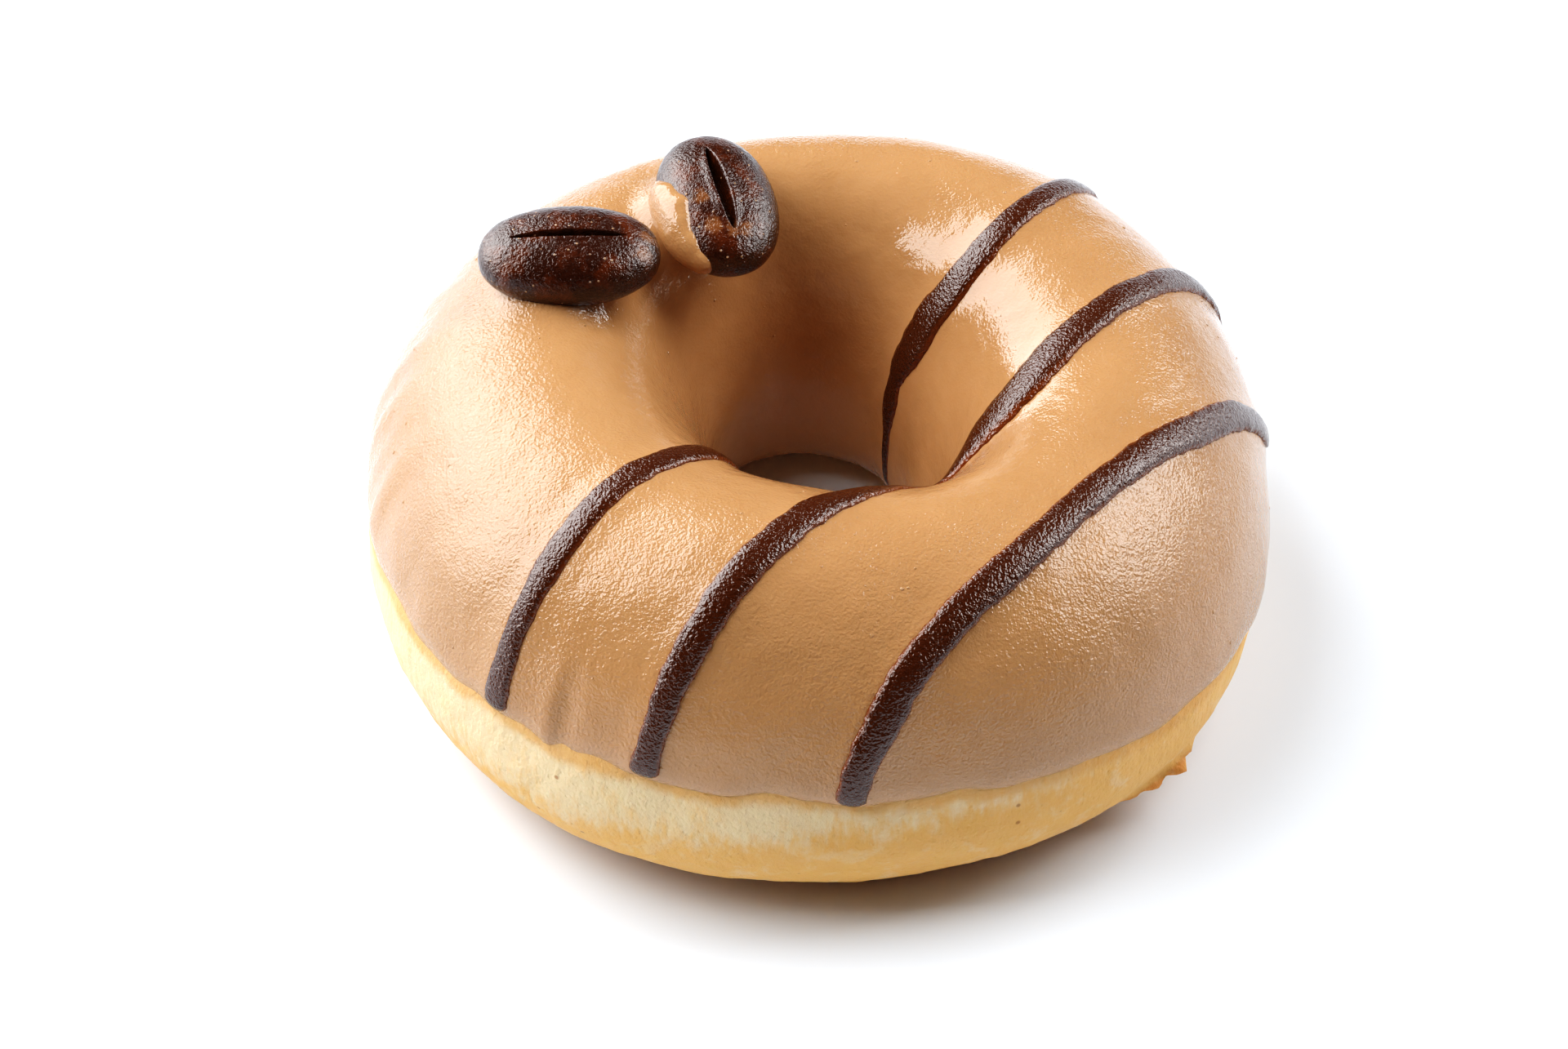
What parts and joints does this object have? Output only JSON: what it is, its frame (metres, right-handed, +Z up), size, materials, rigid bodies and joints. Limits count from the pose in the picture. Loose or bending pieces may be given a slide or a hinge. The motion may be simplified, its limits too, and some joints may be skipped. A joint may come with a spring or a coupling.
{
  "type": "ring doughnut",
  "caption": "Iced ring doughnut with chocolate stripes and moulded chocolate coffee beans, lying flat on its round underside.",
  "frame": {"origin": "on the table under the middle of the doughnut, at the bottom centre of its bounding box", "axes": "+Z up, through the hole; +X to the right and -Y to the front, so the beans lie at the back left"},
  "size_m": [0.0921, 0.0873, 0.0455],
  "materials": {
    "dough": "soft, matt and finely porous, pale at the band and golden below it",
    "mocha_icing": "glossy, with a fine orange-peel ripple",
    "dark_chocolate": "glossy and finely grained",
    "bean_chocolate": "satin, finely grained"
  },
  "bodies": {
    "root": {"dough_ring": "dough", "icing": "mocha_icing", "stripe_1_back": "dark_chocolate", "stripe_1_front": "dark_chocolate", "stripe_2": "dark_chocolate", "stripe_3": "dark_chocolate", "coffee_bean_left": "bean_chocolate", "coffee_bean_right": "bean_chocolate"}
  },
  "joints": []
}
